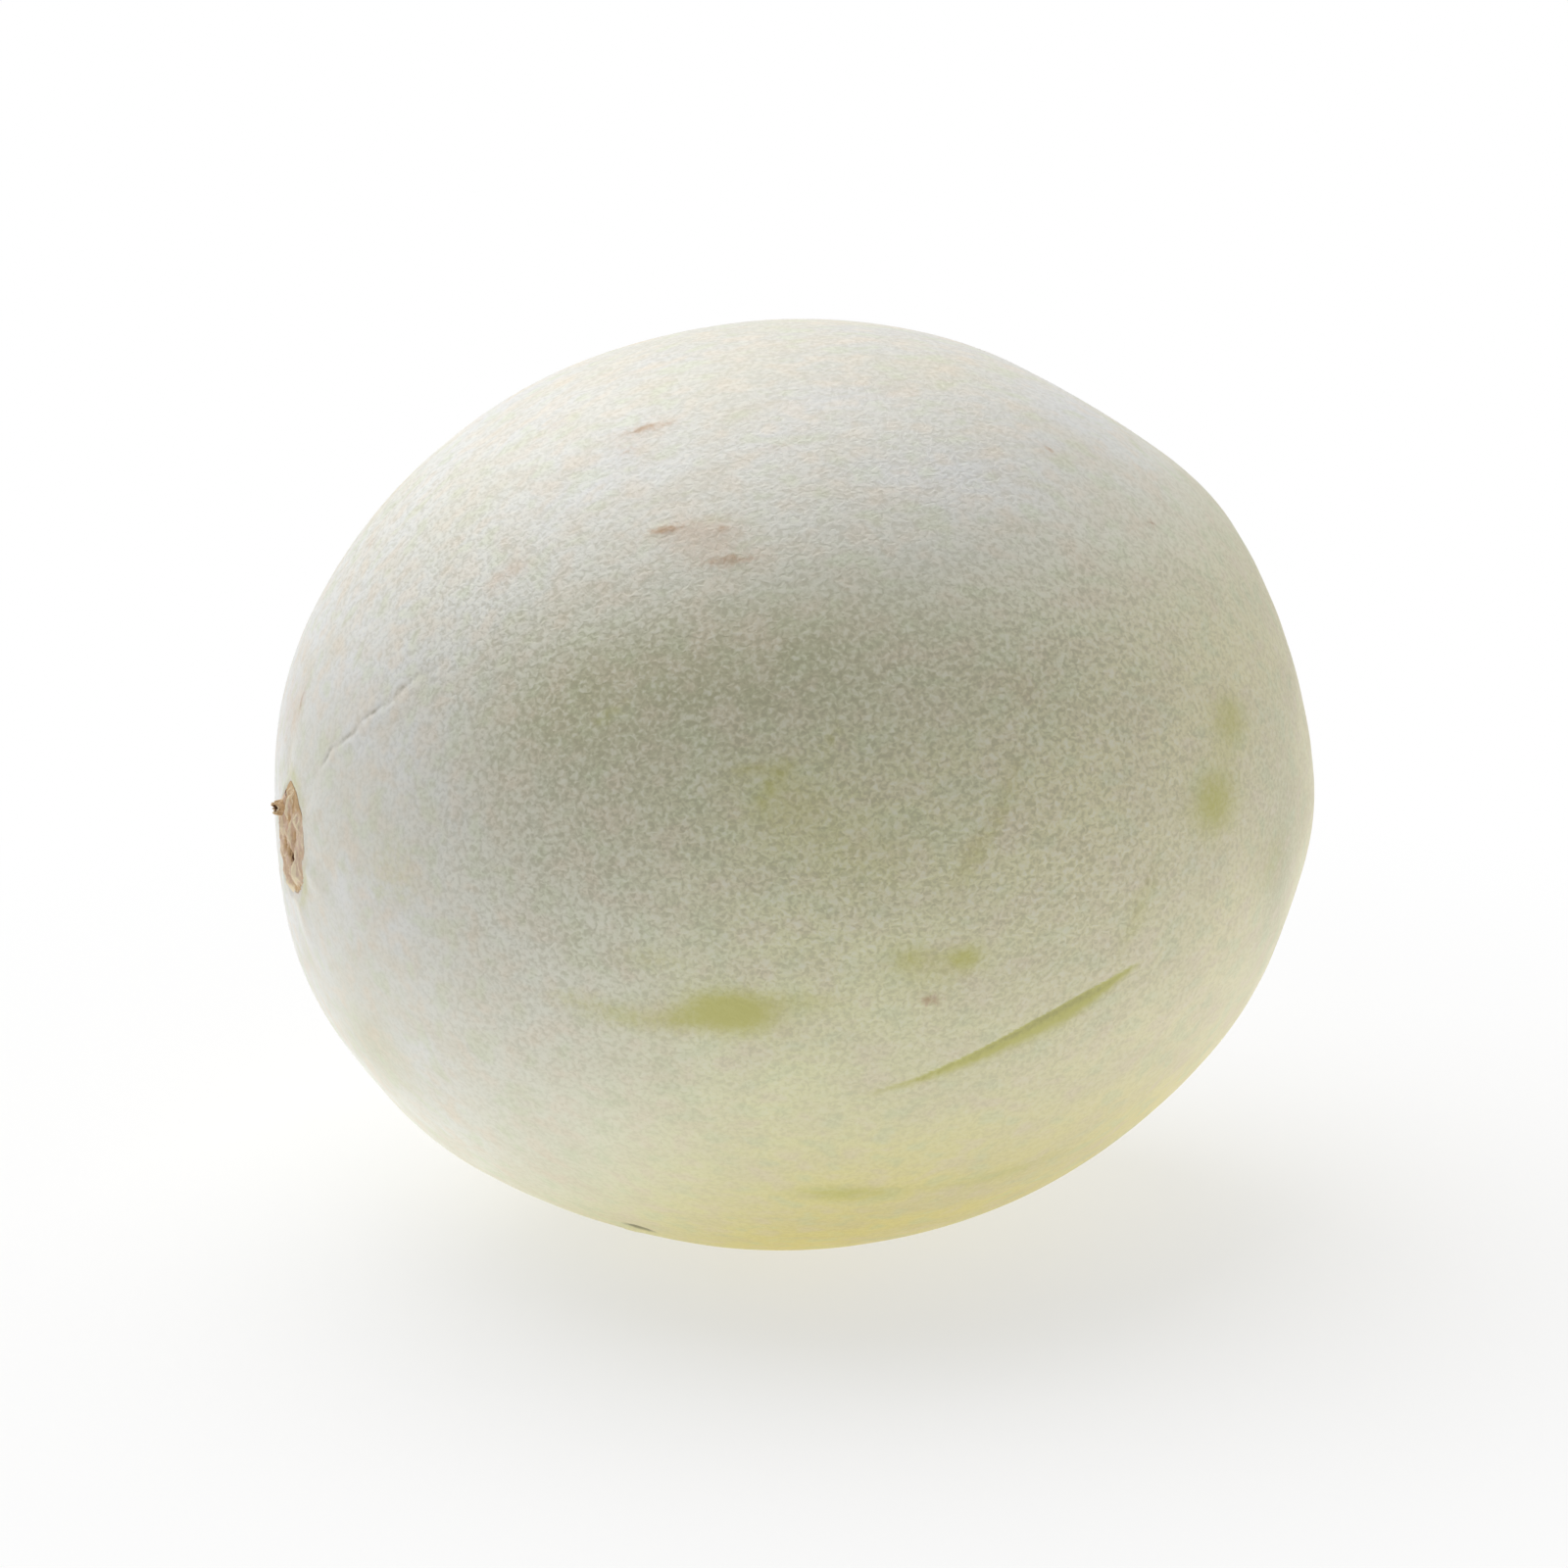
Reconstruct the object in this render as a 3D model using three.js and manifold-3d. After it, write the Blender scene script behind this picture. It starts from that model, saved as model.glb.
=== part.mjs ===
// Whole honeydew melon lying on its side, in millimetres, +Z up.
// The origin is the centre of the flat ground spot that it rests on.
// The stem end points along -X and the blossom end along +X, and the side seen most is -Y.
import * as THREE from 'three';
import { mergeVertices } from 'three/addons/utils/BufferGeometryUtils.js';
import Module from 'manifold-3d';

const wasm = await Module();
wasm.setup();

// Driving dimensions of the fruit
const LENGTH = 190;
const THICKNESS = 167;
const GROUND_SPOT_DEPTH = 1.8; // how far the flat spot cuts into the round shape
const CENTRE_HEIGHT = THICKNESS / 2 - GROUND_SPOT_DEPTH;

// Dried remnant of the stalk, in the hollow at the stem end
const SCAR_HEIGHT = 20;
const SCAR_WIDTH = 15;
const SCAR_DEPTH = 2.4; // below the skin at the pole
const SCAR_RISE = 0.6; // of its rim above the skin at the pole
const GAP = 0.3; // between the remnant and the fruit
const STALK_RADIUS = 1.5;
const STALK_LENGTH = 1.6; // above the rim
const STALK_SIDE = 4; // from the centre of the scar towards the back
const STALK_UP = 5.2; // from the centre of the scar

// The round shape is an ellipsoid with gentle swellings and hollows, in mm. A place on the fruit is
// given by two angles in degrees: along, from the stem end (0) to the blossom end (180), and
// around, from the top (0) over the -Y side (90) to the ground (180) and the back (270).
const SWELLINGS = [
  { along: 12, around: 272, spread: 11, height: -0.85 }, // flat area behind the stem end
  { along: 30, around: 210, spread: 12, height: 1.6 },
  { along: 46, around: 186, spread: 11, height: 1.5 },
  { along: 71, around: 171, spread: 11, height: -0.5 },
  { along: 66, around: 333, spread: 14, height: 0.4 },
  { along: 126, around: 0, spread: 11, height: -1.5 },
  { along: 142, around: 16, spread: 9, height: 0.6 },
  { along: 157, around: 50, spread: 9, height: -0.6 },
  { along: 155, around: 100, spread: 9, height: 0.7 },
  { along: 141, around: 134, spread: 11, height: 0.5 },
  { along: 80, around: 282, spread: 24, height: 0.8 },
  { along: 108, around: 248, spread: 20, height: -0.7 },
];

const SEGMENTS_AROUND = 64;
const SEGMENTS_ALONG = 44;
const SCAR_SEGMENTS = 40;

function directionAt({ along, around }) {
  const a = THREE.MathUtils.degToRad(along);
  const b = THREE.MathUtils.degToRad(around);
  return new THREE.Vector3(-Math.cos(a), -Math.sin(a) * Math.sin(b), Math.sin(a) * Math.cos(b));
}

function swellingHeight(direction) {
  let height = 0;
  for (const swelling of SWELLINGS) {
    const closeness = 1 - direction.dot(directionAt(swelling));
    const reach = 1 - Math.cos(THREE.MathUtils.degToRad(swelling.spread));
    height += swelling.height * Math.exp(-closeness / reach);
  }
  return height;
}

function skinPoint(direction) {
  const halfSizes = new THREE.Vector3(LENGTH / 2, THICKNESS / 2, THICKNESS / 2);
  const point = direction.clone().multiply(halfSizes);
  return point.multiplyScalar(1 + swellingHeight(direction) / point.length());
}

// Solids

function toSolid(geometry) {
  geometry.deleteAttribute('normal');
  geometry.deleteAttribute('uv');
  const merged = mergeVertices(geometry);
  return new wasm.Manifold(new wasm.Mesh({
    numProp: 3,
    vertProperties: new Float32Array(merged.attributes.position.array),
    triVerts: new Uint32Array(merged.index.array),
  }));
}

function toMesh(name, solid, look) {
  const { vertProperties, triVerts } = solid.getMesh();
  const geometry = new THREE.BufferGeometry();
  geometry.setAttribute('position', new THREE.BufferAttribute(vertProperties, 3));
  geometry.setIndex(new THREE.BufferAttribute(triVerts, 1));
  geometry.computeVertexNormals();
  const mesh = new THREE.Mesh(geometry, new THREE.MeshStandardMaterial(look));
  mesh.name = name;
  return mesh;
}

function roundShape() {
  const geometry = new THREE.SphereGeometry(1, SEGMENTS_AROUND, SEGMENTS_ALONG);
  geometry.rotateZ(Math.PI / 2);
  const positions = geometry.attributes.position;
  for (let i = 0; i < positions.count; i += 1) {
    const point = skinPoint(new THREE.Vector3().fromBufferAttribute(positions, i).normalize());
    positions.setXYZ(i, point.x, point.y, point.z);
  }
  return toSolid(geometry.translate(0, 0, CENTRE_HEIGHT));
}

function belowGround() {
  const side = 80;
  const depth = 10;
  return toSolid(new THREE.BoxGeometry(side, side, depth).translate(0, 0, -depth / 2));
}

// Turns a profile of [radius, distance outward from the pole] pairs about the X axis at the stem
// end, as an oval of the scar's height and width.
function aboutStemEnd(profile) {
  const points = profile.map(([radius, outward]) => new THREE.Vector2(radius, outward));
  const pole = skinPoint(new THREE.Vector3(-1, 0, 0));
  const geometry = new THREE.LatheGeometry(points, SCAR_SEGMENTS);
  geometry.rotateZ(Math.PI / 2);
  geometry.scale(1, SCAR_WIDTH / SCAR_HEIGHT, 1);
  return toSolid(geometry.translate(pole.x, 0, CENTRE_HEIGHT));
}

function scarRecess() {
  const radius = SCAR_HEIGHT / 2 + GAP * SCAR_HEIGHT / SCAR_WIDTH;
  const floor = -SCAR_DEPTH - GAP;
  const clear = 10;
  return aboutStemEnd([[0, floor], [radius, floor], [radius, clear], [0, clear]]);
}

function corkyDisc() {
  const radius = SCAR_HEIGHT / 2;
  return aboutStemEnd([
    [0, -SCAR_DEPTH],
    [radius, -SCAR_DEPTH],
    [radius, 0.35 * SCAR_RISE],
    [0.9 * radius, 0.9 * SCAR_RISE],
    [0.78 * radius, SCAR_RISE],
    [0.6 * radius, 0.3 * SCAR_RISE],
    [0.25 * radius, 0.1 * SCAR_RISE],
    [0, 0.2 * SCAR_RISE],
  ]);
}

function stalkEnd() {
  const height = SCAR_DEPTH / 2 + SCAR_RISE + STALK_LENGTH;
  const pole = skinPoint(new THREE.Vector3(-1, 0, 0));
  const geometry = new THREE.CylinderGeometry(STALK_RADIUS * 0.75, STALK_RADIUS, height, 14);
  geometry.translate(0, height / 2 - SCAR_DEPTH / 2, 0);
  geometry.rotateZ(Math.PI / 2);
  return toSolid(geometry.translate(pole.x, STALK_SIDE, CENTRE_HEIGHT + STALK_UP));
}

// Pieces

function makeFruit() {
  const solid = roundShape().subtract(belowGround()).subtract(scarRecess());
  return toMesh('fruit', solid, { color: 0xd3d0bb, roughness: 0.42, metalness: 0 });
}

function makeStemStub() {
  const solid = corkyDisc().add(stalkEnd());
  return toMesh('stem_stub', solid, { color: 0xb08a5c, roughness: 0.85, metalness: 0 });
}

const melon = new THREE.Group();
melon.add(makeFruit(), makeStemStub());

export default melon;
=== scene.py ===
"""Whole honeydew melon lying on its side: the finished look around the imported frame.

Lengths are in metres unless a name ends in _mm. A place on the melon is given by two angles in
degrees: along, from the stem end (0) to the blossom end (180), and around, from the top (0) over
the side that faces -Y (90) to the ground (180) and the back (270).
"""
import math

import bpy
import numpy as np
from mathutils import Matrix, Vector, noise


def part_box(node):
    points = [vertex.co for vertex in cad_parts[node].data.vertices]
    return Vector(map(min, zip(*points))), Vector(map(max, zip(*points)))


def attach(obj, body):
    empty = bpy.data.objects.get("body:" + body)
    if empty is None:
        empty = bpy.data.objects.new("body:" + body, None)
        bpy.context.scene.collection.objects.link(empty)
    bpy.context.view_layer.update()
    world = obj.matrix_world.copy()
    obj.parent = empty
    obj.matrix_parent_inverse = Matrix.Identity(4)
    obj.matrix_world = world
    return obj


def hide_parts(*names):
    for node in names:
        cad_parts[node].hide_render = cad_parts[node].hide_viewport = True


MM = 0.001

# Shape of the fruit, as in the frame: swellings are (along, around, spread, height in mm).
SWELLINGS = [
    (12, 272, 11, -0.85),
    (30, 210, 12, 1.6),
    (46, 186, 11, 1.5),
    (71, 171, 11, -0.5),
    (66, 333, 14, 0.4),
    (126, 0, 11, -1.5),
    (142, 16, 9, 0.6),
    (157, 50, 9, -0.6),
    (155, 100, 9, 0.7),
    (141, 134, 11, 0.5),
    (80, 282, 24, 0.8),
    (108, 248, 20, -0.7),
]
GRAIN_PITCH_MM = 0.85
GRAIN_RELIEF_MM = 0.06
GROUND_SOFTNESS_MM = 0.5  # how gently the flat ground spot runs into the round skin
SCAR_RADIUS_MM = 10.0
SCAR_OVAL = 0.75  # width over height of the stem scar
RECESS_DEPTH_MM = 1.2  # of the hollow that holds the corky pad
PAD_DEPTH_MM = 1.5  # about how far the corky pad's back lies below the skin
STALK_REACH_MM = 2.2  # of the frame's stalk beyond the skin at the pole
STALK_SIDE_MM = 4.0  # from the middle of the scar towards the back
STALK_UP_MM = 5.2
# Pits (below 0) and ridges of the corky pad: side, up, half width, half height, height in mm.
PAD_DETAILS = [
    (3.1, 8.0, 1.2, 0.8, -1.6),
    (-2.0, -2.9, 0.8, 1.5, -1.6),
    (-0.9, 6.0, 0.6, 2.6, 0.7),
    (-3.0, 2.6, 0.6, 3.0, 0.5),
    (-4.4, -4.2, 0.7, 2.6, 0.9),
    (2.2, -1.0, 2.6, 3.2, 0.2),
]
BLOSSOM_RADIUS_MM = 4.5

# Mesh lines of the fruit, which stand closer at each focus: (centre, half width, extra density).
RING_COUNT = 236
SPOKE_COUNT = 400
RING_FOCUS = [(0, 9, 4.5), (180, 5, 3.0), (96, 16, 0.7)]
SPOKE_FOCUS = [(39, 3, 2.0), (106, 7, 4.0)]

# The dark mark carries dark lines of the skin and painted shade in the groove and the nick.
# The olive mark carries painted shade.
MARKS = ("green", "olive", "cork", "stain", "dark")

# Streaks are (along, around) places that a line runs through.
CREASE = [(10.5, 30), (14, 34.5), (18, 36.8), (25, 39), (33, 39.5), (43, 40), (52, 37.5)]
GROOVE = [(77, 114), (84.5, 111), (90, 108.4), (96, 105.5), (102.5, 102.9), (111, 100.2)]
# Long faint rub marks, the last two on the unseen back.
RUBS = [
    [(84, 89), (91.5, 79), (94, 74.5), (97.5, 68.5)],
    [(105.5, 99.5), (109.5, 91), (113, 85)],
    [(118, 300), (131, 291)],
    [(58, 262), (72, 276)],
]

# Short fine scratches.
OLIVE_LINES = [
    [(66.5, 77.5), (67.2, 75.4), (69.6, 71.4), (72.4, 69)],
    [(63.5, 71), (67, 70.4), (70.4, 71)],
    [(50.5, 62), (53, 60.4), (56.5, 58.3)],
    [(74, 70), (77, 66)],
]

# Colours
BLOOM = (0.845, 0.85, 0.845, 1)  # pale wax at the stem end and the top
CREAM = (0.87, 0.855, 0.555, 1)  # away from the stem end
WARM_CREAM = (0.91, 0.85, 0.57, 1)  # towards the blossom end
GROUND_YELLOW = (0.88, 0.78, 0.30, 1)  # towards the ground, away from the stem end
# painted shade that darkens the top of the fruit under the top light
PAINTED_CROWN_SHADE = (0.71, 0.70, 0.665, 1)
# olive tint of the painted shade in the olive bands
OLIVE_PAINTED_SHADE = (0.62, 0.61, 0.42, 1)
BROAD_BLOTCH = (0.75, 0.72, 0.53, 1)
MOTTLE = (0.79, 0.70, 0.55, 1)
GREEN_TINGE = (0.70, 0.76, 0.53, 1)
PINK_TINGE = (0.87, 0.76, 0.62, 1)
# painted shade in the grain's furrows
PAINTED_FURROW_SHADE = (0.40, 0.38, 0.24, 1)
# painted highlight on the grain's ridges
PAINTED_RIDGE_HIGHLIGHT = (0.92, 0.91, 0.80, 1)
STAIN = (0.72, 0.53, 0.40, 1)
GREEN = (0.64, 0.62, 0.20, 1)
CORK = (0.54, 0.36, 0.22, 1)
# dark lines of the skin, and painted shade in the groove and the nick
DARK_LINE_AND_SHADE = (0.20, 0.18, 0.10, 1)
STEM_OCHRE = (0.66, 0.45, 0.25, 1)
STEM_PINK = (0.80, 0.61, 0.48, 1)
# painted highlight on the corky pad's ridges
STEM_PAINTED_HIGHLIGHT = (0.92, 0.79, 0.57, 1)
# painted shade in the corky pad's cracks and pits
STEM_PAINTED_SHADE = (0.12, 0.04, 0.008, 1)
TABLE = (0.88, 0.88, 0.87, 1)
WHITE = (1, 1, 1, 1)

# Soft lamps: azimuth from the view, elevation, distance, size and watts.
TOP_LIGHT = (237, 70, 0.8, 1.0, 7.9)
SIDE_LIGHT = (80, 10, 0.9, 0.8, 1.1)
TABLE_HALF_SIZE = 8.0

# Camera
LENS_MM = 120.0
VIEW_AZIMUTH = -22.0
VIEW_ELEVATION = 16.0
VIEW_DISTANCE = 0.9425
VIEW_SHIFT = -0.0069


# Places on the skin

def direction_at(along, around):
    """Unit directions from the centre, for angles in degrees."""
    a = np.radians(along)
    b = np.radians(around)
    return np.stack([-np.cos(a), -np.sin(a) * np.sin(b), np.sin(a) * np.cos(b)], axis=-1)


def swelling_mm(directions):
    """Height of the swellings at each direction, in mm."""
    height = np.zeros(directions.shape[:-1])
    for along, around, spread, peak in SWELLINGS:
        closeness = 1 - directions @ direction_at(along, around)
        height += peak * np.exp(-closeness / (1 - math.cos(math.radians(spread))))
    return height


def wrap(degrees):
    """The same angle, between -180 and 180."""
    return (degrees + 180) % 360 - 180


class Skin:
    """Grid of places on the fruit, with the heights and the marks that its features add."""

    def __init__(self, box):
        low, high = Vector(box[0]), Vector(box[1])
        self.half_length = high.x
        self.half_width = -low.y
        self.centre = Vector((0, 0, high.z + low.y))
        ring_stops = focused_stops(0.6, 179.4, RING_COUNT, RING_FOCUS)
        spoke_stops = focused_stops(0, 360, SPOKE_COUNT + 1, SPOKE_FOCUS)[:-1]
        self.along, self.around = np.meshgrid(ring_stops, spoke_stops, indexing="ij")
        self.directions = direction_at(self.along, self.around)
        self.radius_mm = self.half_width / MM * np.sin(np.radians(self.along))
        self.height_mm = swelling_mm(self.directions)
        self.marks = {name: np.zeros(self.along.shape) for name in MARKS}

    def offsets_mm(self, along, around):
        """Distances from a place, along the fruit and around it."""
        lengthwise = (self.along - along) * math.radians(1) * self.half_length / MM
        crosswise = wrap(self.around - around) * math.radians(1) * self.radius_mm
        return lengthwise, crosswise

    def spot(self, along, around, length, width, turn=0.0):
        """Soft oval spot, 1 in its middle, with half sizes in mm."""
        lengthwise, crosswise = self.offsets_mm(along, around)
        c, s = math.cos(math.radians(turn)), math.sin(math.radians(turn))
        u = (lengthwise * c + crosswise * s) / length
        v = (crosswise * c - lengthwise * s) / width
        return np.exp(-(u * u + v * v))

    def streak(self, places):
        """Signed distance across a line in mm, and how far each place is through it, 0 to 1."""
        alongs = [place[0] for place in places]
        arounds = [place[1] for place in places]
        middle = np.interp(self.along, alongs, arounds)
        slope = (arounds[-1] - arounds[0]) / (alongs[-1] - alongs[0])
        tilt = math.cos(math.atan(slope * 0.85))
        across = wrap(self.around - middle) * math.radians(1) * self.radius_mm * tilt
        through = (self.along - alongs[0]) / (alongs[-1] - alongs[0])
        return across, through

    def positions(self):
        """Points of the grid in the frame, resting on the ground."""
        half_sizes = np.array([self.half_length, self.half_width, self.half_width])
        points = self.directions * half_sizes
        lengths = np.linalg.norm(points, axis=-1)
        points = points * (1 + self.height_mm * MM / lengths)[..., None]
        points = points + np.array(self.centre)
        softness = GROUND_SOFTNESS_MM * MM
        points[..., 2] = 0.5 * (points[..., 2] + np.sqrt(points[..., 2] ** 2 + softness ** 2))
        points[..., 2] -= points[..., 2].min()
        return points


def focused_stops(start, end, count, focus):
    """Stops from start to end that stand closer together near each focus."""
    samples = np.linspace(start, end, 4000)
    density = np.ones_like(samples)
    for centre, half_width, extra in focus:
        density += extra * np.exp(-((samples - centre) / half_width) ** 2)
    total = np.concatenate([[0], np.cumsum((density[1:] + density[:-1]) / 2)])
    return np.interp(np.linspace(0, total[-1], count), total, samples)


def smooth_step(low, high, values):
    """0 up to low, 1 from high on, and a smooth rise between them."""
    t = np.clip((values - low) / (high - low), 0, 1)
    return t * t * (3 - 2 * t)


def taper(through, ends=0.3):
    """1 in the middle of a streak, falling to 0 at both ends."""
    return smooth_step(0, ends, through) * smooth_step(0, ends, 1 - through)


def noise_mm(directions, wavelength_mm, seed):
    """Smooth noise between about -1 and 1 over the fruit."""
    flat = directions.reshape(-1, 3) * (90.0 / wavelength_mm)
    values = [noise.noise(Vector(point) + Vector((seed, 0, 0))) for point in flat]
    return np.array(values).reshape(directions.shape[:-1]) * 1.6


# Features of the skin

def scar_edge_mm(angle):
    """Radius of the stem scar's uneven outline, in its own oval measure."""
    return SCAR_RADIUS_MM + 0.35 * np.sin(5 * angle + 1) + 0.2 * np.sin(11 * angle)


def add_stem_hollow(skin):
    """Recess that holds the dried stem remnant, with shallow flutes running out of it."""
    b = np.radians(skin.around)
    side, up = -skin.radius_mm * np.sin(b), skin.radius_mm * np.cos(b)
    angle = np.arctan2(side / SCAR_OVAL, up)
    from_pole = np.where(skin.along < 90, np.hypot(side / SCAR_OVAL, up), 1e3)
    edge = scar_edge_mm(angle)
    skin.height_mm -= RECESS_DEPTH_MM * (1 - smooth_step(edge - 1.6, edge - 0.5, from_pole))
    skin.height_mm += 0.15 * np.exp(-((from_pole - edge - 0.9) / 0.9) ** 2)
    skin.height_mm -= 0.25 * np.exp(-((from_pole - edge) / 0.5) ** 2)
    flutes = np.sin(7 * b + 0.6) + 0.6 * np.sin(13 * b + 2)
    skin.height_mm += 0.16 * flutes * np.exp(-((from_pole - 16) / 6) ** 2)
    skin.marks["stain"] += 0.35 * np.exp(-((from_pole - edge) / 1.0) ** 2)
    ring = np.exp(-((from_pole - edge - 1.6) / 1.8) ** 2)
    skin.marks["green"] += 0.45 * ring * (0.6 + 0.4 * np.sin(3 * b + 1))
    skin.marks["cork"] += (1 - smooth_step(edge - 0.8, edge - 0.1, from_pole))


def add_blossom_scar(skin):
    """Small corky button at the blossom end."""
    from_pole = np.where(skin.along > 90, skin.radius_mm, 1e3)
    b = np.radians(skin.around)
    edge = BLOSSOM_RADIUS_MM + 0.3 * np.sin(3 * b) + 0.2 * np.sin(7 * b + 1)
    skin.height_mm -= 0.9 * np.exp(-(from_pole / 11) ** 2)
    skin.height_mm += 0.45 * np.exp(-((from_pole - edge) / 0.8) ** 2)
    skin.height_mm -= 0.4 * (1 - smooth_step(1.2, edge, from_pole))
    skin.marks["cork"] += 0.9 * (1 - smooth_step(edge - 0.6, edge + 1.2, from_pole))
    skin.marks["stain"] += 0.4 * np.exp(-((from_pole - edge) / 3.0) ** 2)


def add_crease(skin):
    """Thin wandering wrinkle that runs out from the stem end, with fainter ones beside it."""
    across, through = skin.streak(CREASE)
    across = across + 0.4 * np.sin(skin.along * 0.83) + 0.2 * np.sin(skin.along * 1.9 + 1)
    strength = taper(through, 0.1) * (1 - 0.75 * smooth_step(0.4, 0.8, through))
    strength = strength * (0.75 + 0.25 * np.sin(skin.along * 1.3))
    skin.height_mm -= 0.2 * strength * np.exp(-(across / 0.6) ** 2)
    skin.height_mm += 0.1 * strength * np.exp(-((across - 1.5) / 1.0) ** 2)
    skin.marks["dark"] += 0.5 * strength * np.exp(-(across / 0.6) ** 2)
    for offset, depth in ((3.4, 0.1), (-2.8, 0.08), (6.6, 0.07), (-5.5, 0.05)):
        beside = across - offset - 0.04 * offset * (skin.along - 22)
        skin.height_mm -= depth * strength * np.exp(-(beside / 0.8) ** 2)


def add_groove(skin):
    """Pressed groove, olive inside: a sharp upper lip, then a slope that runs back out below it. The olive
    is partly bruised skin and partly painted shade, and the dark line under the lip is painted shade.
    """
    across, through = skin.streak(GROOVE)
    strength = smooth_step(0, 0.75, through) * smooth_step(0, 0.32, 1 - through)
    below = np.clip(across, 0, None)
    reach = 2.6 * strength + 0.9
    slope = smooth_step(-0.9, 0.9, across) * np.exp(-(below / (reach + 1.2)) ** 1.6)
    skin.height_mm -= 0.3 * strength * slope
    core = smooth_step(-0.55, -0.05, across) * np.exp(-(below / reach) ** 2.2)
    # olive: partly bruised skin, partly painted shade
    skin.marks["green"] += 1.7 * strength ** 0.4 * core
    # painted shade just under the lip
    skin.marks["dark"] += 0.48 * strength ** 0.4 * np.exp(-((across - 0.4) / (0.45 * reach)) ** 2)


def add_rubs(skin):
    """Long faint rub marks."""
    for index, places in enumerate(RUBS):
        across, through = skin.streak(places)
        across = across + 0.4 * np.sin(skin.around * 1.1 + index)
        strength = taper(through, 0.35)
        skin.marks["stain"] += 0.35 * strength * np.exp(-(across / 1.2) ** 2)
        skin.marks["green"] += 0.4 * strength * np.exp(-((across - 1.0) / 2.4) ** 2)
        skin.marks["dark"] += 0.36 * strength * np.exp(-(across / 0.7) ** 2)
        skin.height_mm -= 0.06 * strength * np.exp(-(across / 0.9) ** 2)


def add_olive_lines(skin):
    """Short fine scratches that show olive through the bloom."""
    for places in OLIVE_LINES:
        across, through = skin.streak(places)
        strength = taper(through, 0.35)
        skin.marks["green"] += 0.5 * strength * np.exp(-(across / 0.8) ** 2)
        skin.marks["dark"] += 0.3 * strength * np.exp(-(across / 0.6) ** 2)


def add_green_patches(skin):
    """Patches where the pale bloom is worn through to yellow-green, long along the fruit."""
    patches = [
        # along, around, half length, half width, strength
        (64.2, 101.8, 8.6, 4.3, 1.35),
        (54.5, 104.8, 7.0, 3.0, 0.5),
        (59, 103.6, 3.5, 2.0, 0.35),
        (72.5, 99.8, 7.0, 2.2, 0.4),
        (82.3, 94.5, 4.8, 2.6, 0.6),
        (88.2, 95.2, 3.6, 2.4, 0.85),
        (85, 97, 8.0, 3.5, 0.3),
        (48, 103.5, 7.0, 2.8, 0.35),
        (56, 95, 7.0, 2.5, 0.35),
        (121, 81.5, 7.5, 6.5, 0.9),
        (125, 70.5, 6.5, 5.5, 0.7),
        (80.5, 132.2, 10.5, 3.0, 0.8),
        (99, 132.5, 16.0, 2.8, 0.5),
        (70, 75, 9.0, 7.0, 0.4),
        (78, 82, 12.0, 7.0, 0.3),
        (24, 85, 8.0, 6.0, 0.3),
        (134, 95, 8.0, 6.0, 0.35),
        # unseen back and underside
        (70, 232, 9.0, 4.0, 0.6),
        (104, 262, 8.0, 3.0, 0.5),
        (128, 236, 7.0, 4.0, 0.5),
        (47, 286, 6.0, 3.0, 0.4),
        (92, 208, 12.0, 4.0, 0.6),
    ]
    for along, around, length, width, strength in patches:
        skin.marks["green"] += strength * skin.spot(along, around, length, width)


def add_painted_shade_bands(skin):
    """Broad olive areas of painted shade: across the middle of the side that faces -Y, low at the stem
    end, near the blossom end and over the back.
    """
    bands = [
        # along, around, half length, half width, strength
        (69, 59, 36.0, 15.0, 1.1),
        (52, 75, 22.0, 13.0, 0.35),
        (99, 66, 22.0, 14.0, 0.3),
        (50, 57, 18.0, 10.0, 0.6),
        (27, 158, 10.0, 13.0, 0.7),
        (137, 98, 11.0, 20.0, 0.8),
        # unseen back
        (74, 262, 40.0, 22.0, 1.0),
        (112, 244, 36.0, 22.0, 0.7),
        (110, 300, 34.0, 18.0, 0.5),
        (58, 300, 26.0, 14.0, 0.4),
    ]
    for along, around, length, width, strength in bands:
        skin.marks["olive"] += strength * skin.spot(along, around, length, width)


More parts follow.
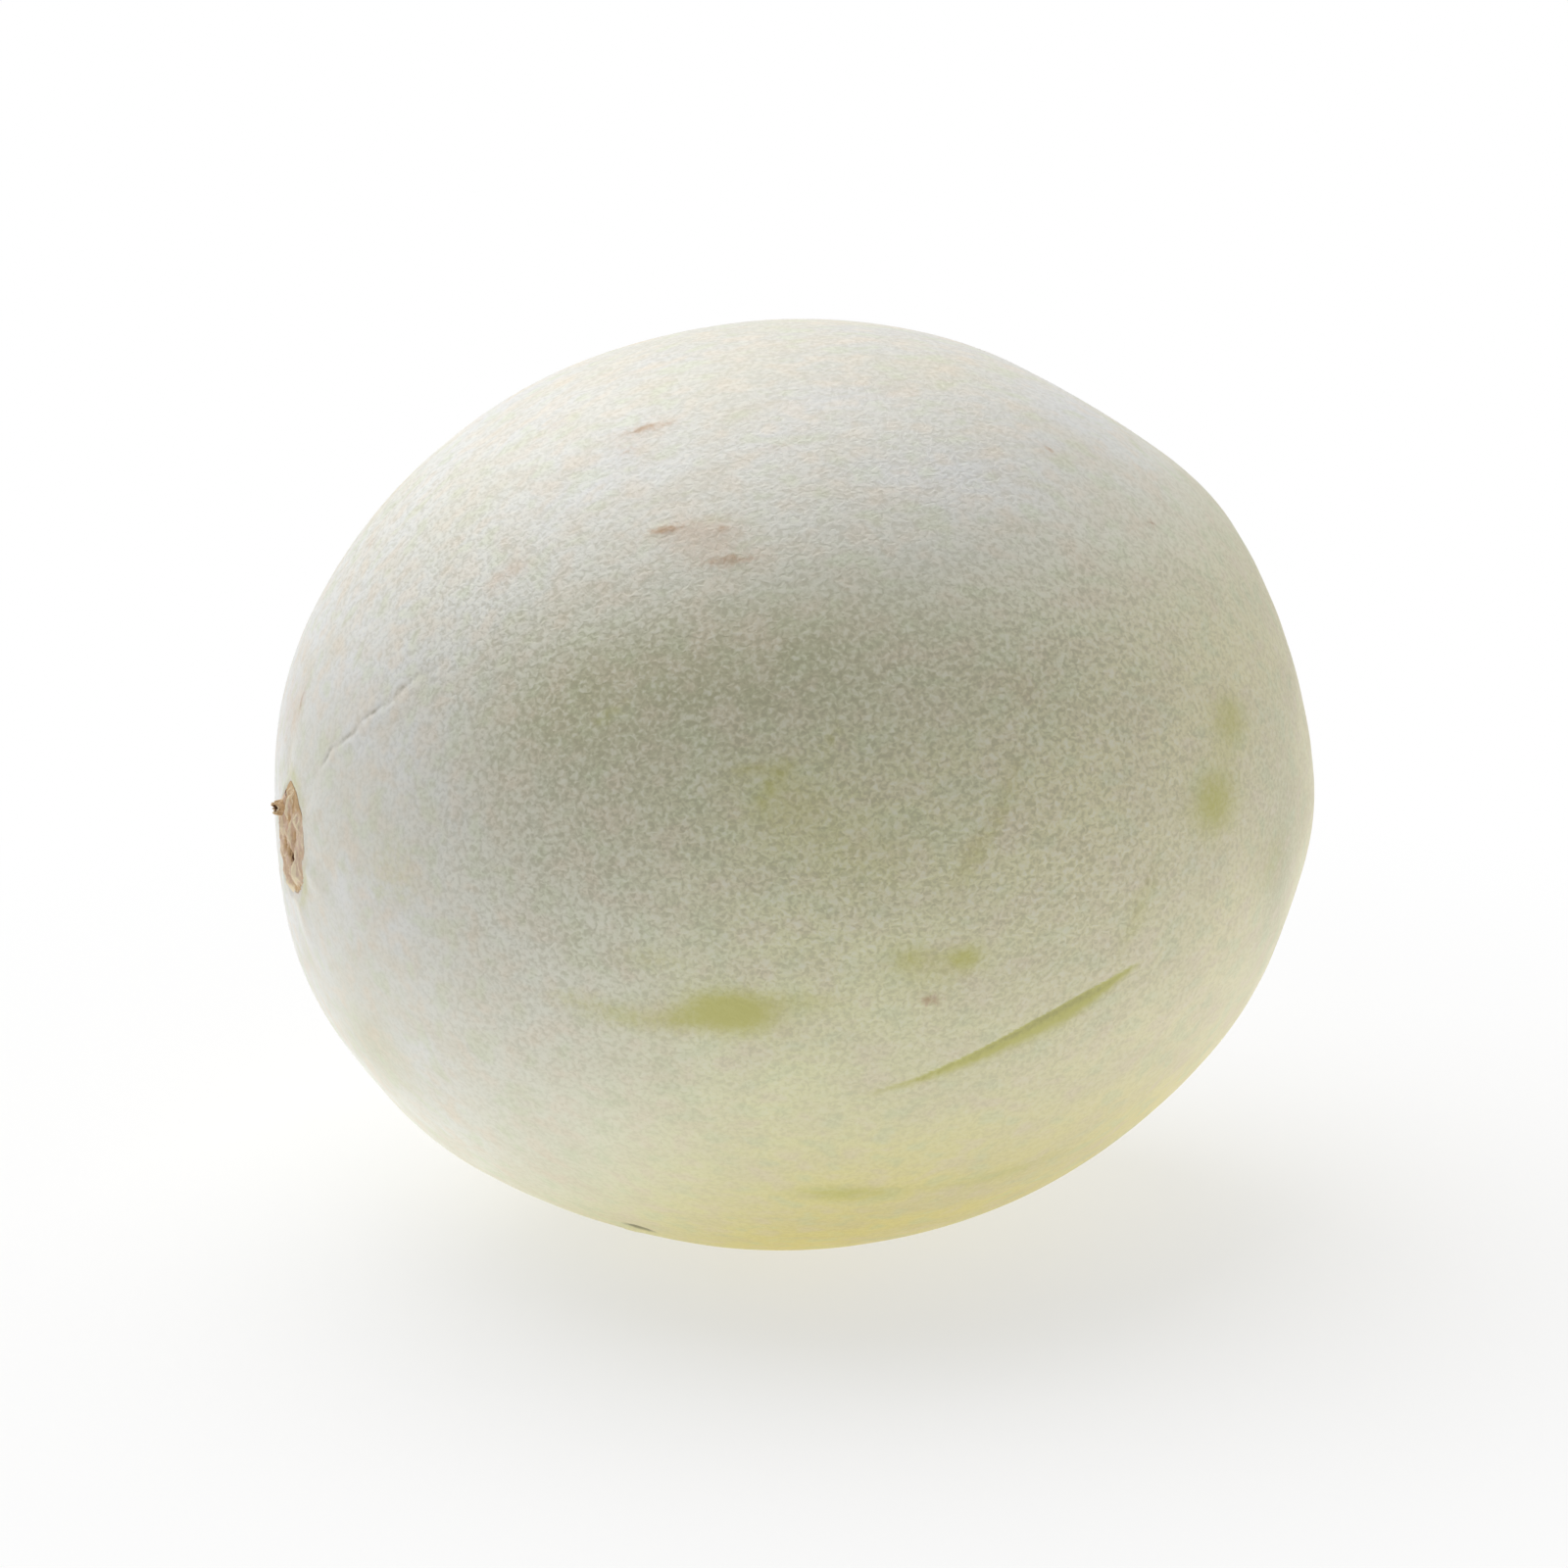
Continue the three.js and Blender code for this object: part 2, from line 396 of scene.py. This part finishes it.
def add_corky_spots(skin):
    """Small raised corky scars, each with a faint halo, and stains that stand alone."""
    spots = [
        # along, around, half length, half width, turn, strength
        (67.5, 18.2, 4.2, 0.8, 12, 0.9),
        (64.3, 20.6, 1.6, 0.8, 0, 0.6),
        (78.6, 28.8, 1.4, 0.7, 0, 0.7),
        (64.2, 36.6, 2.8, 0.8, 10, 0.9),
        (69.6, 43.6, 3.8, 0.9, 8, 0.8),
        (69.6, 39, 1.8, 0.8, 0, 0.5),
        (41.5, 44.2, 0.8, 0.7, 0, 0.6),
        (60.8, 59.9, 0.9, 0.8, 0, 0.35),
        (119.7, 41.3, 1.4, 0.7, 0, 0.7),
        (108.6, 31.4, 1.2, 0.7, 0, 0.6),
        (84.7, 100.2, 2.2, 1.1, 0, 0.65),
        (43.6, 349.8, 1.0, 0.8, 0, 0.7),
        (37.1, 349.8, 1.0, 0.8, 0, 0.7),
        (16.8, 352.8, 3.0, 0.6, 0, 0.6),
        # unseen back
        (58, 300, 2.2, 0.9, 20, 0.8),
        (97, 288, 1.6, 1.0, -15, 0.7),
        (112, 318, 2.6, 0.8, 10, 0.8),
        (80, 246, 1.4, 1.0, 0, 0.6),
        (143, 270, 1.8, 0.9, 0, 0.7),
    ]
    for along, around, length, width, turn, strength in spots:
        core = skin.spot(along, around, length, width, turn)
        skin.marks["cork"] += strength * core
        skin.marks["stain"] += 0.5 * strength * skin.spot(along, around, 1.6 * length + 2, width + 2, turn)
        skin.height_mm += 0.22 * strength * core
    stains = [
        # along, around, half length, half width, strength
        (47.2, 31.4, 6.5, 2.2, 0.6),
        (58.8, 7.5, 6.0, 3.0, 0.4),
        (92, 22, 12.0, 2.5, 0.22),
        (97, 64.5, 8.0, 4.0, 0.4),
        (16, 335, 8.0, 9.0, 0.5),
        (118, 30, 12.0, 2.5, 0.3),
        (41.5, 55, 5.0, 4.0, 0.22),
        (67, 39.5, 9.0, 5.5, 0.4),
        (100, 298, 12.0, 4.0, 0.3),
        (66, 254, 9.0, 3.5, 0.3),
    ]
    for along, around, length, width, strength in stains:
        skin.marks["stain"] += strength * skin.spot(along, around, length, width)


def add_nick_with_painted_shade(skin):
    """Small nick low on the stem side, with a raised lip; the dark in it is painted shade."""
    core = skin.spot(64.2, 157, 2.6, 1.3, 6)
    skin.height_mm -= 0.5 * core
    skin.height_mm += 0.3 * skin.spot(64.2, 160.4, 2.8, 0.9, 6)
    # painted shade in the nick
    skin.marks["dark"] += 1.6 * core


def build_skin(box):
    """Grid of the skin with gentle unevenness and every feature."""
    skin = Skin(box)
    skin.height_mm += 0.16 * noise_mm(skin.directions * np.array([0.5, 1, 1]), 22, 3.0)
    skin.height_mm += 0.04 * noise_mm(skin.directions * np.array([0.6, 1, 1]), 6, 11.0)
    for add_feature in (add_stem_hollow, add_blossom_scar, add_crease, add_groove, add_rubs,
                        add_olive_lines, add_green_patches, add_painted_shade_bands, add_corky_spots, add_nick_with_painted_shade):
        add_feature(skin)
    return skin


# Meshes

def grid_faces(ring_count, spoke_count, start_pole, end_pole):
    """Quads of a closed lat-long grid, and the triangles round its two poles."""
    faces = []
    for ring in range(ring_count - 1):
        for spoke in range(spoke_count):
            after = (spoke + 1) % spoke_count
            a, b = ring * spoke_count, (ring + 1) * spoke_count
            faces.append((a + spoke, a + after, b + after, b + spoke))
    last = (ring_count - 1) * spoke_count
    for spoke in range(spoke_count):
        after = (spoke + 1) % spoke_count
        faces.append((start_pole, after, spoke))
        faces.append((end_pole, last + spoke, last + after))
    return faces


def new_object(name, vertices, faces, material):
    mesh = bpy.data.meshes.new(name)
    mesh.from_pydata(vertices, [], faces)
    mesh.shade_smooth()
    mesh.materials.append(material)
    obj = bpy.data.objects.new(name, mesh)
    bpy.context.scene.collection.objects.link(obj)
    return obj


def add_mark(mesh, name, values):
    attribute = mesh.attributes.new(name, "FLOAT", "POINT")
    attribute.data.foreach_set("value", np.asarray(values, dtype=np.float32))


def make_fruit(box, material):
    """Closed mesh of the whole melon, with its marks as attributes for the material."""
    skin = build_skin(box)
    points = skin.positions()
    poles = np.stack([points[0].mean(axis=0), points[-1].mean(axis=0)])
    vertices = np.concatenate([points.reshape(-1, 3), poles])
    ring_count, spoke_count = skin.along.shape
    grid_size = ring_count * spoke_count
    faces = grid_faces(ring_count, spoke_count, grid_size, grid_size + 1)
    fruit = new_object("melon_skin", vertices.tolist(), faces, material)
    for name, values in skin.marks.items():
        ends = [values[0].mean(), values[-1].mean()]
        add_mark(fruit.data, name, np.concatenate([values.reshape(-1), ends]))
    return fruit


# Materials

class Graph:
    """Short calls for building a node tree."""

    def __init__(self, tree):
        self.tree = tree
        tree.nodes.clear()

    def add(self, kind, inputs=None, **settings):
        node = self.tree.nodes.new(kind)
        for name, value in settings.items():
            setattr(node, name, value)
        for key, value in (inputs or {}).items():
            self.feed(node.inputs[key], value)
        return node

    def feed(self, socket, value):
        if isinstance(value, bpy.types.NodeSocket):
            self.tree.links.new(value, socket)
        elif isinstance(value, bpy.types.Node):
            self.tree.links.new(value.outputs[0], socket)
        else:
            socket.default_value = value

    def math(self, operation, first, second=0.0, clamp=False):
        return self.add("ShaderNodeMath", {0: first, 1: second}, operation=operation, use_clamp=clamp)

    def ramp(self, value, low, high, to_low=0.0, to_high=1.0):
        inputs = {"Value": value, "From Min": low, "From Max": high, "To Min": to_low, "To Max": to_high}
        return self.add("ShaderNodeMapRange", inputs, interpolation_type="SMOOTHSTEP")

    def mix(self, factor, first, second, blend="MIX"):
        node = self.add("ShaderNodeMix", data_type="RGBA", blend_type=blend, clamp_factor=True)
        self.feed(node.inputs[0], factor)
        self.feed(node.inputs[6], first)
        self.feed(node.inputs[7], second)
        return node.outputs[2]

    def mark(self, name):
        return self.add("ShaderNodeAttribute", attribute_name=name).outputs["Fac"]

    def object_mm(self, scale=(1.0, 1.0, 1.0)):
        """Object coordinates in millimetres, times a scale along each axis."""
        place = self.add("ShaderNodeTexCoord").outputs["Object"]
        inputs = {0: place, 1: tuple(value / MM for value in scale)}
        return self.add("ShaderNodeVectorMath", inputs, operation="MULTIPLY")

    def noise(self, place, pitch_mm, detail=2.0, roughness=0.5, distortion=0.0):
        inputs = {"Vector": place, "Scale": 1 / pitch_mm, "Detail": detail, "Roughness": roughness,
                  "Distortion": distortion}
        return self.add("ShaderNodeTexNoise", inputs, noise_dimensions="3D").outputs["Fac"]


def new_material(name):
    material = bpy.data.materials.new(name)
    material.use_nodes = True
    return material, Graph(material.node_tree)


def skin_material():
    """Pale waxy rind: bloom and green blotches, soft fine grain, corky scars and stains, with painted
    shade on the crown, in the olive bands, in the grain's furrows, in the groove and in the nick, and
    painted highlight on the grain's ridges.
    """
    material, g = new_material("honeydew_rind")
    place = g.object_mm()
    streaky = g.object_mm((0.42, 1.0, 1.0))
    parts = g.add("ShaderNodeSeparateXYZ", {0: place}).outputs
    mottle = g.noise(streaky, 6, 3, 0.6)
    grain, furrow_painted_shade, ridge = grain_field(g, g.object_mm((0.85, 1.0, 1.0)), parts)
    rough_edge = g.math("SUBTRACT", g.noise(place, 1.1, 3, 0.65), 0.5)

    color = ground_tint(g, parts, g.noise(streaky, 24, 2, 0.5), mottle)
    tinge = g.noise(g.object_mm((0.7, 1.0, 1.0)), 4.2, 1, 0.5)
    color = g.mix(g.ramp(tinge, 0.52, 0.72, 0, 0.32), color, GREEN_TINGE)
    color = g.mix(g.ramp(tinge, 0.48, 0.28, 0, 0.34), color, PINK_TINGE)
    # painted shade in the grain's furrows and painted highlight on its ridges
    color = g.mix(furrow_painted_shade, color, PAINTED_FURROW_SHADE)
    color = g.mix(ridge, color, PAINTED_RIDGE_HIGHLIGHT)
    stain = worn(g, g.mark("stain"), rough_edge, 0.6, 0.05, 1.1, 0.6)
    color = g.mix(stain, color, STAIN)
    green = worn(g, g.mark("green"), rough_edge, 0.6, 0.0, 1.1, 0.9)
    color = g.mix(green, color, GREEN)
    cork = worn(g, g.mark("cork"), rough_edge, 0.9, 0.12, 0.85, 0.85)
    color = g.mix(cork, color, CORK)
    # dark lines of the skin, and painted shade in the groove and the nick
    dark = worn(g, g.mark("dark"), rough_edge, 0.5, 0.1, 0.9, 0.8)
    color = g.mix(dark, color, DARK_LINE_AND_SHADE)

    surface = g.add("ShaderNodeBump", {"Strength": 1.0, "Distance": GRAIN_RELIEF_MM * MM, "Height": grain})
    shine = g.math("ADD", g.ramp(mottle, 0.3, 0.7, 0.42, 0.54), g.math("MULTIPLY", cork, 0.3))
    inputs = {
        "Base Color": color,
        "Roughness": shine,
        "Specular IOR Level": 0.35,
        "Normal": surface,
    }
    shader = g.add("ShaderNodeBsdfPrincipled", inputs)
    g.add("ShaderNodeOutputMaterial", {"Surface": shader})
    return material


def ground_tint(g, parts, broad, mottle):
    """Pale bloom at the stem end and the top, yellower towards the ground and the other end, with painted
    shade on the crown and in the olive bands.
    """
    far_end = g.ramp(parts["X"], -95, -25)
    side = g.ramp(parts["Z"], 154, 100)
    yellow = g.math("MULTIPLY", far_end, side)
    under = g.math("MULTIPLY", g.ramp(parts["Z"], 56, 10), g.ramp(parts["X"], -66, -8))
    color = g.mix(yellow, BLOOM, CREAM)
    color = g.mix(g.math("MULTIPLY", g.ramp(parts["X"], -30, 50), side), color, WARM_CREAM)
    color = g.mix(under, color, GROUND_YELLOW)
    # painted shade on the top of the fruit
    color = g.mix(g.ramp(parts["Z"], 142, 168), color, PAINTED_CROWN_SHADE)
    # olive bands: painted shade
    color = g.mix(g.math("MULTIPLY", g.mark("olive"), 0.9, clamp=True), color, OLIVE_PAINTED_SHADE)
    color = g.mix(g.ramp(broad, 0.35, 0.68, 0, 0.30), color, BROAD_BLOTCH)
    return g.mix(g.ramp(mottle, 0.40, 0.68, 0, 0.30), color, MOTTLE)


def grain_field(g, place, parts):
    """Soft fine grain, strongest on the middle of the fruit: painted highlight on its ridges and painted
    shade in its furrows.
    """
    coarse = g.noise(place, GRAIN_PITCH_MM, 1.5, 0.5, 0.5)
    middle = g.math("MULTIPLY", g.ramp(parts["X"], -94, -66, 0.3, 1), g.ramp(parts["Z"], 25, 100, 0.25, 1))
    middle = g.math("MULTIPLY", middle, g.ramp(parts["X"], 85, 10, 0.45, 1))
    below_crown = g.ramp(parts["Z"], 152, 118, 0.5, 1)
    shown = g.math("MULTIPLY", middle, below_crown)
    grain = g.math("MULTIPLY", g.ramp(coarse, 0.26, 0.74), middle)
    # painted shade in the low parts of the grain, and painted highlight on its high parts
    furrow_painted_shade = g.math("MULTIPLY", g.ramp(coarse, 0.58, 0.29, 0, 0.42), shown)
    ridge = g.math("MULTIPLY", g.ramp(coarse, 0.48, 0.74, 0, 0.55), shown)
    return grain, furrow_painted_shade, ridge


def worn(g, mark, rough_edge, raggedness, low, high, strength):
    """Turns a soft mark into one with a ragged edge, up to a strength."""
    ragged = g.math("MULTIPLY_ADD", rough_edge, raggedness)
    g.feed(ragged.inputs[2], mark)
    edge = g.ramp(ragged, low, high, 0, strength)
    return g.math("MULTIPLY", edge, g.ramp(mark, 0.02, 0.12), clamp=True)


# Dried stem remnant

def make_stem(fruit_box, material):
    """Fibrous corky pad with ragged ridges, and the torn end of the stalk standing out of it."""
    low, high = Vector(fruit_box[0]), Vector(fruit_box[1])
    centre = Vector((0, 0, high.z + low.y))
    skin_x_mm = skin_near_stem(high.x / MM, -low.y / MM)
    vertices, faces, tones, heights = [], [], [], []
    for points, bit_faces, bit_tones, bit_heights in (corky_pad(), torn_stalk()):
        first = len(vertices)
        for outward, y, z in points:
            vertices.append(centre + Vector((skin_x_mm(y, z) - outward, y, z)) * MM)
        faces += [tuple(first + corner for corner in face) for face in bit_faces]
        tones += bit_tones
        heights += bit_heights
    stem = new_object("dry_stem", vertices, faces, material)
    add_mark(stem.data, "tone", tones)
    # height mark that sets the painted highlight and painted shade
    add_mark(stem.data, "ridge", heights)
    return stem


def skin_near_stem(half_length_mm, half_width_mm):
    """Gives the function that finds the smooth skin's x in mm, at a y and z from the centre."""
    def skin_x_mm(y, z):
        along = math.asin(math.hypot(y, z) / half_width_mm)
        direction = direction_at(math.degrees(along), math.degrees(math.atan2(-y, z)))
        return -half_length_mm * math.cos(along) - float(swelling_mm(direction))
    return skin_x_mm


def corky_pad():
    """Oval pad: its front is sculpted, and it narrows towards its back."""
    rings, spokes, back_rings = 72, 220, 8
    points, tones, heights = [], [], []
    for ring in range(rings + back_rings):
        reach = min((ring + 0.5) / rings, 1.0)
        back = max(ring - rings + 1, 0) / back_rings
        for spoke in range(spokes):
            angle = 2 * math.pi * spoke / spokes
            radius = float(scar_edge_mm(angle)) * reach * (1 - 0.3 * back)
            y, z = radius * math.sin(angle) * SCAR_OVAL, radius * math.cos(angle)
            lift, tone, mark = pad_surface(y, z, reach)
            points.append((lift - PAD_DEPTH_MM * back, y, z))
            tones.append(tone)
            heights.append(mark)
    points += [(pad_surface(0, 0, 0)[0], 0, 0), (-PAD_DEPTH_MM, 0, 0)]
    tones += [0.5, 0.5]
    heights += [0.0, 0.0]
    last = (rings + back_rings) * spokes
    return points, grid_faces(rings + back_rings, spokes, last, last + 1), tones, heights


def pad_surface(y, z, reach):
    """Height of the pad above the skin in mm, its tone (0 ochre, 1 pinkish) and its height mark, which
    gives painted highlight where high and painted shade where low.
    """
    sway = 0.8 * noise.noise(Vector((y * 0.3, z * 0.25, 5)))
    fibres = noise.noise(Vector(((y + sway) * 1.5, z * 0.3, 2)))
    strands = noise.noise(Vector(((y + sway) * 3.4, z * 0.55, 7)))
    lumps = noise.noise(Vector((y * 0.45, z * 0.3, 11)))
    fine = noise.noise(Vector((y * 2.2, z * 2.2, 4)))
    lift = 0.2 + 0.55 * fibres + 0.25 * strands + 0.5 * lumps + 0.15 * fine
    lift += 0.35 * math.exp(-((reach - 0.86) / 0.09) ** 2) * (0.8 + 0.8 * fibres)
    mark = lift
    for side, up, width, tall, height in PAD_DETAILS:
        detail = height * math.exp(-((y - side) / width) ** 2 - ((z - up) / tall) ** 2)
        lift += detail
        # pits count more in the mark, for deeper painted shade
        mark += detail if height > 0 else 1.8 * detail
    # painted highlight at the pad's lower end
    mark += 0.6 * smooth_step(-7.5, -9.5, z)
    tone = 0.55 + 0.8 * lumps + 0.25 * fibres - 0.5 * smooth_step(5.0, 9.5, abs(z + 0.5))
    return lift * (1 - reach ** 8) - 0.2 * reach ** 8, tone, mark


def torn_stalk():
    """Short hollow stub, fluted along its length, with a ragged torn rim."""
    spokes = 48
    rows = [
        # half width in mm, outward in mm, height mark (painted highlight on the torn rim, painted shade
        # inside the hollow)
        (1.6, -0.6, 0.4), (1.3, 0.1, 0.45), (1.2, 0.6, 0.25), (1.08, 1.0, 0.1), (1.0, 1.4, 0.2),
        (0.92, 1.75, 0.8), (0.76, 1.75, 0.4), (0.62, 1.3, -0.7), (0.4, 0.6, -1.0),
    ]
    points, tones, heights = [], [], []
    for wide, outward, height_mark in rows:
        for spoke in range(spokes):
            angle = 2 * math.pi * spoke / spokes
            around = Vector((math.sin(angle), math.cos(angle), 0))
            tear = noise.noise(around * 2.6 + Vector((4, 0, 6)))
            flute = 1 + 0.10 * math.sin(5 * angle + 1) + 0.12 * noise.noise(around * 3.1)
            out = outward * (1 + 0.6 * tear) if outward > 1.2 else outward
            y = STALK_SIDE_MM + wide * flute * math.sin(angle) + 0.15 * out
            z = STALK_UP_MM - 0.6 + 1.2 * wide * flute * math.cos(angle) + 0.2 * out
            points.append((min(out, STALK_REACH_MM), y, z))
            tones.append(0.1 + 0.3 * tear)
            heights.append(height_mark + 0.9 * noise.noise(Vector((angle * 3, outward * 1.5, 3))))
    points += [(-0.9, STALK_SIDE_MM, STALK_UP_MM), (0.3, STALK_SIDE_MM, STALK_UP_MM)]
    tones += [0.1, 0.1]
    heights += [0.0, -1.0]
    last = len(rows) * spokes
    faces = grid_faces(len(rows), spokes, last, last + 1)
    return points, [tuple(reversed(face)) for face in faces], tones, heights


def stem_material():
    """Dry cork: pinkish tan and ochre, with painted highlight on its ridges and painted shade in its
    cracks and pits.
    """
    material, g = new_material("dry_cork")
    fibres = g.noise(g.object_mm((1.0, 1.0, 0.3)), 0.45, 4, 0.6)
    # fibres and height mark together place the painted highlight and painted shade
    spread = g.math("MULTIPLY_ADD", g.math("SUBTRACT", fibres, 0.5), 2.6)
    g.feed(spread.inputs[2], g.mark("ridge"))
    color = g.mix(g.ramp(g.mark("tone"), 0.2, 0.75), STEM_OCHRE, STEM_PINK)
    # painted highlight on the ridges
    color = g.mix(g.ramp(spread, 0.35, 0.9), color, STEM_PAINTED_HIGHLIGHT)
    # painted shade in the cracks and pits
    color = g.mix(g.ramp(spread, 0.0, -0.8), color, STEM_PAINTED_SHADE)
    surface = g.add("ShaderNodeBump", {"Strength": 1.0, "Distance": 0.15 * MM, "Height": fibres})
    shader = g.add("ShaderNodeBsdfPrincipled", {"Base Color": color, "Roughness": 0.8, "Normal": surface})
    g.add("ShaderNodeOutputMaterial", {"Surface": shader})
    return material


# Setting: floor, light and camera

def white_floor():
    """Pale table that glows softly onto the melon and fades into the white background."""
    size = TABLE_HALF_SIZE
    corners = [(-size, -size, 0), (size, -size, 0), (size, size, 0), (-size, size, 0)]
    material, g = new_material("white_table")
    floor = new_object("table_top", corners, [(0, 1, 2, 3)], material)
    place = g.add("ShaderNodeTexCoord").outputs["Object"]
    distance = g.add("ShaderNodeVectorMath", {0: place}, operation="LENGTH").outputs["Value"]
    seen = g.add("ShaderNodeLightPath").outputs["Is Camera Ray"]
    paint = g.add("ShaderNodeBsdfDiffuse", {"Color": TABLE})
    strength = g.ramp(distance, 0.1, 0.4, 0.39, 0.34)
    glow = g.add("ShaderNodeEmission", {"Color": WHITE, "Strength": strength})
    lit = g.add("ShaderNodeAddShader", {0: paint, 1: glow})
    pale = g.add("ShaderNodeEmission", {"Color": WHITE, "Strength": 1.0})
    fade = g.ramp(distance, 0.02, 0.3, 0.6, 1.0)
    near_melon = g.add("ShaderNodeMixShader", {0: fade, 1: paint, 2: pale})
    surface = g.add("ShaderNodeMixShader", {0: seen, 1: lit, 2: near_melon})
    g.add("ShaderNodeOutputMaterial", {"Surface": surface})


def white_room():
    """White backdrop behind the melon, and a dark room behind the camera."""
    world = bpy.data.worlds.new("studio")
    bpy.context.scene.world = world
    world.use_nodes = True
    g = Graph(world.node_tree)
    a = math.radians(VIEW_AZIMUTH)
    behind = (-math.sin(a), math.cos(a), 0.25)
    direction = g.add("ShaderNodeTexCoord").outputs["Generated"]
    facing = g.add("ShaderNodeVectorMath", {0: direction, 1: behind}, operation="DOT_PRODUCT")
    strength = g.ramp(facing.outputs["Value"], -0.25, 0.8, 0.0, 0.58)
    room = g.add("ShaderNodeBackground", {"Color": WHITE, "Strength": strength})
    white = g.add("ShaderNodeBackground", {"Color": WHITE, "Strength": 1.0})
    seen = g.add("ShaderNodeLightPath").outputs["Is Camera Ray"]
    surface = g.add("ShaderNodeMixShader", {0: seen, 1: room, 2: white})
    g.add("ShaderNodeOutputWorld", {"Surface": surface})


def outward_vector(azimuth, elevation):
    """Direction from the melon to a viewer or a lamp."""
    a, e = math.radians(azimuth), math.radians(elevation)
    return Vector((math.sin(a) * math.cos(e), -math.cos(a) * math.cos(e), math.sin(e)))


def add_softbox(name, target, azimuth, elevation, distance, size, watts):
    """Square lamp that faces the target."""
    light = bpy.data.lights.new(name, "AREA")
    light.shape = "SQUARE"
    light.size = size
    light.energy = watts
    lamp = bpy.data.objects.new(name, light)
    bpy.context.scene.collection.objects.link(lamp)
    outward = outward_vector(VIEW_AZIMUTH + azimuth, elevation)
    lamp.location = target + outward * distance
    lamp.rotation_euler = outward.to_track_quat("Z", "Y").to_euler()


def add_camera(target):
    """Camera at the viewing angle, aimed at the target."""
    data = bpy.data.cameras.new("view")
    data.lens = LENS_MM
    data.sensor_width = 36.0
    data.shift_x = VIEW_SHIFT
    data.clip_start = 0.05
    camera = bpy.data.objects.new("view", data)
    bpy.context.scene.collection.objects.link(camera)
    outward = outward_vector(VIEW_AZIMUTH, VIEW_ELEVATION)
    camera.location = target + outward * VIEW_DISTANCE
    camera.rotation_euler = outward.to_track_quat("Z", "Y").to_euler()
    bpy.context.scene.camera = camera


# The scene

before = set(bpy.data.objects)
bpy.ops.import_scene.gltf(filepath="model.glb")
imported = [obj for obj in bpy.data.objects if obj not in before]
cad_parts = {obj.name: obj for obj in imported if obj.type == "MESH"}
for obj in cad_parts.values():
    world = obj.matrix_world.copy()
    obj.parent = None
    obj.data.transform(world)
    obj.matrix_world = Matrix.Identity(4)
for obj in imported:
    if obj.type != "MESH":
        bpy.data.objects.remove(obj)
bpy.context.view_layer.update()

fruit = make_fruit(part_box("fruit"), skin_material())
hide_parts("fruit")
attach(fruit, "root")

stem = make_stem(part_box("fruit"), stem_material())
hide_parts("stem_stub")
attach(stem, "root")

melon_centre = Vector((0, 0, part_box("fruit")[1][2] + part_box("fruit")[0][1]))
bpy.context.scene.view_settings.view_transform = "Standard"
white_floor()
white_room()
add_softbox("top_light", melon_centre, *TOP_LIGHT)
add_softbox("side_light", melon_centre, *SIDE_LIGHT)
add_camera(melon_centre)

bpy.context.view_layer.update()
